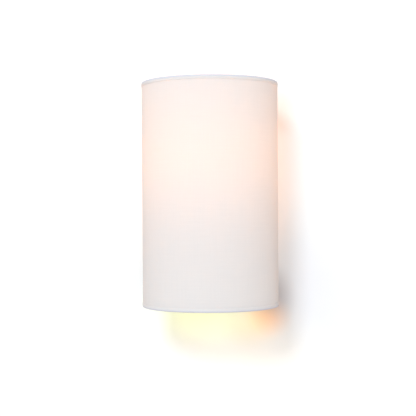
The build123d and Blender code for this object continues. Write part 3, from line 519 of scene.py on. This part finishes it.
# The cap's round screw thread, and the shell's, which is the same a little larger:
screw_pitch = 25.4 / 7 * MM     # seven turns to the inch, as its lift joint has
screw_depth = 0.85 * MM
screw_play = 0.35 * MM
screw_columns = 96

cap_crest = 13.0 * MM
cap_sheet = 0.4 * MM
cap_rows = 56
# Heights above the tip:
cap_foot = 4.5 * MM
cap_thread_low = 6 * MM
cap_thread_top = 22 * MM
cap_top = 27 * MM
foot_radius = 11.5 * MM
foot_sheet = 0.5 * MM
taper_in = 0.2 * MM             # under the thread, inwards from its core
taper_down = 0.4 * MM
band_out = 0.3 * MM             # the plain band over the thread stands out from its crest
band_start = 0.4 * MM
band_full = 0.9 * MM

shell_sheet = 0.5 * MM
shell_window = 6.0 * MM         # radius of the hole for the centre contact
shell_plain_low = 3 * MM
shell_plain_top = 1.2 * MM
shell_rows = 76

holder_radius = 20.0 * MM
shoulder_radius = 21.5 * MM
skirt_thread = 19.5 * MM
skirt_depth = 0.7 * MM
skirt_pitch = 2.0 * MM
skirt_plain = 1 * MM            # between the shoulder and the thread
skirt_flats = 0.9
skirt_rows = 84
skirt_bore = 17.0 * MM
skirt_mouth = 15.5 * MM
skirt_lip = 2.0 * MM
skirt_edge = 0.8 * MM
skirt_ribs = 24
rib_turn = 2 * pi / skirt_ribs
rib_radius = 0.7 * MM
rib_margin = 1.5 * MM
rib_end = 0.1 * MM              # the height in which a rib's end rises
rib_points = (-1, -0.9, -0.6, 0, 0.6, 0.9, 1)   # their arc sines space the points over a rib
groove_points = (0.35, 0.65)    # shares of the way to the next rib

arm_radius = 5.0 * MM
arm_bore = 3.5 * MM
arm_pitch = 1.0 * MM
arm_depth = 0.6 * MM
arm_rows_per_turn = 6
arm_columns = 48

seat_gap = 0.1 * MM
fitter_thickness = 1.5 * MM
fitter_radius = 27.0 * MM
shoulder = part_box("shade_ring")[0].z - seat_gap - fitter_thickness      # height of the shade's seat

# A bead's size is its half lengths along its radius from the shade's axis, across and up:
lower_bead = (1.2 * MM, 1.7 * MM, 1.3 * MM)
lower_bead_off = 1.3 * MM       # in and up from the ring wire's middle
upper_bead = (1.1 * MM, 2.3 * MM, 1.0 * MM)
upper_bead_out = 0.1 * MM
upper_bead_down = 0.2 * MM
bead_rows, bead_columns = 7, 12
bead_lumps = 0.22               # as a share of its size
bead_lump_scale = 1.8
bead_noise_scale = 900          # noise cells to a metre between beads, so that no two are alike


def thread(angle, height, low, high, pitch, root, crest, rest, flats=0.5):
    """Radius of a right-hand thread from low to high that runs out into rest at both ends.

    It is round where flats is 0.5, and has flat crests and roots where that is more."""
    wave = clamped(0.5 + flats * cos(2 * pi * height / pitch - angle))
    run = clamped(min(2 * (height - low) / pitch, 2 * (high - height) / pitch))
    return rest + (root + (crest - root) * wave - rest) * run


def make_cap():
    """The bulb's cap: sheet metal rolled to the round screw thread."""
    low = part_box("bulb_tip")[0].z
    foot, top = low + cap_foot, low + cap_top
    thread_low, thread_top = low + cap_thread_low, low + cap_thread_top
    core = cap_crest - screw_depth
    band = cap_crest + band_out
    outer = [(foot_radius, foot), (core - taper_in, thread_low - taper_down)]
    outer += [(cap_crest, z) for z in steps(thread_low, thread_top, cap_rows)]
    outer += [(cap_crest, thread_top + band_start), (band, thread_top + band_full), (band, top)]
    inner = [(band - cap_sheet, top), (band - cap_sheet, thread_top + band_full)]
    inner += [(cap_crest - cap_sheet, z) for z in steps(thread_top, thread_low, cap_rows)]
    inner += [(foot_radius, foot + foot_sheet)]

    def rolled(radius, angle, height):
        if thread_low <= height <= thread_top:
            outside = thread(angle, height, thread_low, thread_top, screw_pitch, core, cap_crest, core)
            return outside - (cap_crest - radius), height
        return radius, height

    points, faces = turned(outer + inner, ring_of(screw_columns), closed=True, shape=rolled)
    return piece("cap_screw", points, faces, "cap_metal", ["bulb_cap"], "bulb", crisp=True)


def make_shell():
    """The holder's brass shell, rolled to the same thread a little larger."""
    low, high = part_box("holder_shell")
    thread_low, thread_top = low.z + shell_plain_low, high.z - shell_plain_top
    major = cap_crest + screw_play
    minor = major - screw_depth
    rows = steps(thread_low, thread_top, shell_rows)
    outer = [(shell_window, low.z), (major, low.z), (major + shell_sheet, low.z + shell_sheet)]
    outer += [(major + shell_sheet, z) for z in rows] + [(major + shell_sheet, high.z)]
    inner = [(major, high.z)] + [(major, z) for z in reversed(rows)]
    inner += [(major, low.z + shell_sheet), (shell_window, low.z + shell_sheet)]

    def rolled(radius, angle, height):
        if thread_low <= height <= thread_top:
            inside = thread(angle, height, thread_low, thread_top, screw_pitch, minor, major, major)
            return inside + (radius - major), height
        return radius, height

    points, faces = turned(outer + inner, ring_of(screw_columns), closed=True, shape=rolled)
    return piece("screw_shell", points, faces, "brass", ["holder_shell"], crisp=True)


def make_skirt():
    """The holder's sleeve: finger ribs below the shade's shoulder and a moulded thread above it."""
    low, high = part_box("holder_skirt")
    insert_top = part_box("holder_insert")[1].z
    rib_low, rib_high = low.z + rib_margin, shoulder - rib_margin
    thread_low, thread_top = shoulder + skirt_plain, high.z - skirt_edge
    core = skirt_thread - skirt_depth
    ribbed = [rib_low, rib_low + rib_end, rib_high - rib_end, rib_high]
    profile = [(holder_radius, low.z), (shoulder_radius - skirt_edge, low.z),
               (shoulder_radius, low.z + skirt_edge)]
    profile += [(shoulder_radius, z) for z in ribbed] + [(shoulder_radius, shoulder), (core, shoulder)]
    profile += [(skirt_thread, z) for z in steps(thread_low, thread_top, skirt_rows)]
    profile += [(core - skirt_edge, high.z), (skirt_mouth, high.z), (skirt_mouth, high.z - skirt_lip),
                (skirt_bore, high.z - skirt_lip), (skirt_bore, insert_top), (holder_radius, insert_top)]

    def moulded(radius, angle, height):
        if radius == shoulder_radius and ribbed[1] <= height <= ribbed[2]:
            off = (angle + rib_turn / 2) % rib_turn - rib_turn / 2
            return radius + sqrt(max(0.0, rib_radius ** 2 - (off * radius) ** 2)), height
        if radius == skirt_thread:
            cut = thread(angle, height, thread_low, thread_top, skirt_pitch, core, skirt_thread, core,
                         skirt_flats)
            return cut, height
        return radius, height

    over_a_rib = [asin(sine) * rib_radius / shoulder_radius * 2 / pi for sine in rib_points]
    between_ribs = [rib_turn * share for share in groove_points]
    angles = [rib * rib_turn + off for rib in range(skirt_ribs) for off in over_a_rib + between_ribs]
    points, faces = turned(profile, angles, closed=True, shape=moulded)
    return piece("ribbed_skirt", points, faces, "holder_plastic", ["holder_skirt"], crisp=True)


def make_arm():
    """The arm: tube threaded from end to end, turned upright and then laid along Y."""
    low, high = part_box("arm_tube")
    near, far = -high.y, -low.y
    core = arm_radius - arm_depth
    rows = steps(near, far, round((far - near) / arm_pitch * arm_rows_per_turn))
    profile = [(arm_radius, z) for z in rows] + [(arm_bore, far), (arm_bore, near)]

    def cut(radius, angle, height):
        if radius == arm_radius:
            return thread(angle, height, near, far, arm_pitch, core, arm_radius, core), height
        return radius, height

    points, faces = turned(profile, ring_of(arm_columns), closed=True, shape=cut)
    lying = [(x - axis.x, -z, y - axis.y) for x, y, z in points]
    return piece("threaded_arm", lying, faces, "nickel", ["arm_tube"], crisp=True)


def bead(centre, angle, size):
    """Points and faces of one weld bead, a lumpy drop."""
    along, aside = Vector((cos(angle), sin(angle), 0)), Vector((-sin(angle), cos(angle), 0))
    points = []
    for row in range(bead_rows):
        lift = pi * (row + 0.5) / bead_rows - pi / 2
        for turn in ring_of(bead_columns):
            way = Vector((cos(lift) * cos(turn), cos(lift) * sin(turn), sin(lift)))
            swell = 1 + bead_lumps * noise.noise(way * bead_lump_scale + centre * bead_noise_scale)
            points.append(centre + (along * way.x * size[0] + aside * way.y * size[1]
                                    + Vector((0, 0, way.z * size[2]))) * swell)
    faces = []
    for row in range(bead_rows - 1):
        below, above = row * bead_columns, (row + 1) * bead_columns
        for column in range(bead_columns):
            after = (column + 1) % bead_columns
            faces.append((below + column, below + after, above + after, above + column))
    bottom = tuple(reversed(range(bead_columns)))
    top = tuple(range((bead_rows - 1) * bead_columns, bead_rows * bead_columns))
    return points, faces + [bottom, top]


def make_welds():
    """Beads where each spoke is welded under the fitter and to the lower ring."""
    lower = (ring_radius - lower_bead_off, shade_bottom + tape_around + lower_bead_off, lower_bead)
    upper = (fitter_radius + upper_bead_out, shoulder - upper_bead_down, upper_bead)
    points, faces = [], []
    for angle in spoke_angles:
        for radius, height, size in (lower, upper):
            centre = axis + Vector((radius * cos(angle), radius * sin(angle), height))
            more, sides = bead(centre, angle, size)
            faces += [tuple(len(points) + k for k in side) for side in sides]
            points += more
    return piece("weld_beads", points, faces, "shade_wire", [])


make_cap()
make_shell()
make_skirt()
make_arm()
make_welds()


# ---- Stage -----------------------------------------------------------------------------------

def patch(s, spot, reach):
    """1 at a spot (x, z) of the wall, falling softly to 0 at reach beside and above it."""
    scale = (1 / reach[0], 1.0, 1 / reach[1])
    centre = (-spot[0] * scale[0], 0, -spot[1] * scale[2])
    moved = s.node("Mapping", {"Vector": s.place(), "Location": centre, "Scale": scale})
    ball = s.node("TexGradient", {"Vector": moved}, output="Fac", gradient_type="SPHERICAL")
    return s.node("MapRange", {"Value": ball}, interpolation_type="SMOOTHSTEP")


def stage_surface(name, rgb, lift, shades=(), glows=()):
    """A pale surface that only the camera sees, and from its front.  It keeps the object's shadow, lift
    brings its lit part up to white, shades are painted shadow that deepens it, and glows are painted bulb
    light."""
    s = surface(name)
    behind = s.node("NewGeometry", output="Backfacing")
    seen = s.math("MULTIPLY", s.ray("Is Camera Ray"), s.math("SUBTRACT", 1.0, behind))
    tone = rgb
    # Painted shadow: patches that darken the wall's colour.
    for spot, reach, share in shades:
        dim = s.blend_colours(patch(s, spot, reach), white, share)
        tone = s.node("VectorMath", {0: tone, 1: dim}, operation="MULTIPLY")
    light = s.node("BsdfDiffuse", {"Color": tone if shades else colour(rgb)})
    lights = [s.node("Emission", {"Color": colour(white), "Strength": lift})]
    # Painted light: patches that glow in place of the bulb's light on the wall.
    for spot, reach, painted_glow_rgb in glows:
        lights.append(s.node("Emission", {"Color": colour(painted_glow_rgb), "Strength": patch(s, spot, reach)}))
    for more in lights:
        light = s.node("AddShader", {0: light, 1: more})
    clear = s.node("BsdfTransparent")
    return s.finish(s.node("MixShader", {"Fac": seen, 1: clear, 2: light}))


def plane(name, corners, material):
    obj = mesh_object(name, corners, [(0, 1, 2, 3)])
    obj.data.materials.append(material)


wall_y = 0.3 * MM       # just clear of the bracket's back
stage_reach = 4.0
floor_z = -1.4
stage_lift = 0.02
# Painted pools of the bulb's light and painted shadows on the wall, each as (x, z), (half width, half
# height), colour:
painted_bulb_glows = [
    ((0.0, 0.125), (0.135, 0.200), (1.05, 0.50, 0.24)),
    ((0.025, -0.135), (0.150, 0.100), (0.33, 0.29, 0.22)),
    ((-0.012, -0.066), (0.105, 0.055), (0.30, 0.34, 0.0)),
    ((0.064, -0.074), (0.040, 0.034), (0.36, 0.10, 0.0)),
]
painted_wall_shadows = [
    ((0.070, -0.048), (0.040, 0.050), (0.55, 0.50, 0.50)),
    ((0.072, -0.074), (0.034, 0.030), (0.93, 0.84, 0.74)),
    ((0.084, 0.181), (0.036, 0.042), (0.95, 0.80, 0.75)),
    ((0.128, -0.035), (0.066, 0.125), (0.945, 0.935, 0.97)),
    ((0.049, -0.087), (0.046, 0.038), (0.99, 0.93, 0.81)),
]
wall_foot = [(-stage_reach, wall_y, floor_z), (stage_reach, wall_y, floor_z)]
plane("wall", wall_foot + [(stage_reach, wall_y, stage_reach), (-stage_reach, wall_y, stage_reach)],
      stage_surface("wall_paint", (0.84, 0.84, 0.84), stage_lift, painted_wall_shadows, painted_bulb_glows))
plane("floor", [(-stage_reach, -stage_reach, floor_z), (stage_reach, -stage_reach, floor_z)]
      + wall_foot[::-1], stage_surface("floor_paint", (0.82, 0.82, 0.82), stage_lift))


# ---- Light and camera ------------------------------------------------------------------------

def softbox(name, travel, away, size, power, rgb):
    """A round lamp whose light travels along travel, over away metres, to the middle of the shade."""
    way = Vector(travel).normalized()
    lamp = bpy.data.lights.new(name, "AREA")
    lamp.shape = "DISK"
    lamp.size = size
    lamp.energy = power
    lamp.color = rgb
    obj = bpy.data.objects.new(name, lamp)
    obj.location = Vector((axis.x, axis.y, shade_middle)) - way * away
    obj.rotation_euler = way.to_track_quat("-Z", "Y").to_euler()
    obj.visible_camera = False
    bpy.context.scene.collection.objects.link(obj)


def studio(fill_rgb, fill):
    """A soft fill all round.  The camera, polished surfaces and clear glass see it as white."""
    world = bpy.data.worlds.new("studio")
    bpy.context.scene.world = world
    s = Shading(world)
    not_diffuse = s.math("SUBTRACT", 1.0, s.ray("Is Diffuse Ray"))
    through_glass = s.math("MULTIPLY", s.ray("Is Transmission Ray"), not_diffuse)
    mirrored = s.math("MAXIMUM", s.ray("Is Glossy Ray"), through_glass)
    shown = s.math("MAXIMUM", s.ray("Is Camera Ray"), mirrored)
    soft = s.node("Background", {"Color": colour(fill_rgb), "Strength": fill})
    plain = s.node("Background", {"Color": colour(white), "Strength": 1.0})
    s.finish(s.node("MixShader", {"Fac": shown, 1: soft, 2: plain}))


lamp_distance = 2.4
lamp_rgb = (0.80, 0.94, 1.0)
softbox("key", (0.25, 1.0, -0.46), lamp_distance, size=0.60, power=31.5, rgb=lamp_rgb)
softbox("front_fill", (0.0, 1.0, 0.0), lamp_distance, size=0.75, power=7.0, rgb=lamp_rgb)
# What the lit wall throws back on the shade's right side:
softbox("wall_glow", (-0.2, -0.111, -0.043), 0.233, size=0.12, power=0.075, rgb=(1.0, 0.85, 0.77))
studio((1.0, 0.95, 0.918), 0.80)

picture_side = 416          # pixels
focal_length = 985.5        # pixels
camera_distance = 1.105     # from the shade's axis
camera_height = 61.9 * MM   # above the arm
camera_offset = -2.5 * MM   # left of the shade's axis
camera_roll = 0.35          # degrees
camera_data = bpy.data.cameras.new("camera")
camera_data.sensor_width = 36.0
camera_data.lens = camera_data.sensor_width * focal_length / picture_side
camera = bpy.data.objects.new("camera", camera_data)
camera.location = (axis.x + camera_offset, axis.y - camera_distance, camera_height)
camera.rotation_euler = (radians(90), radians(camera_roll), 0)
bpy.context.scene.collection.objects.link(camera)
bpy.context.scene.camera = camera
bpy.context.scene.view_settings.view_transform = "Standard"
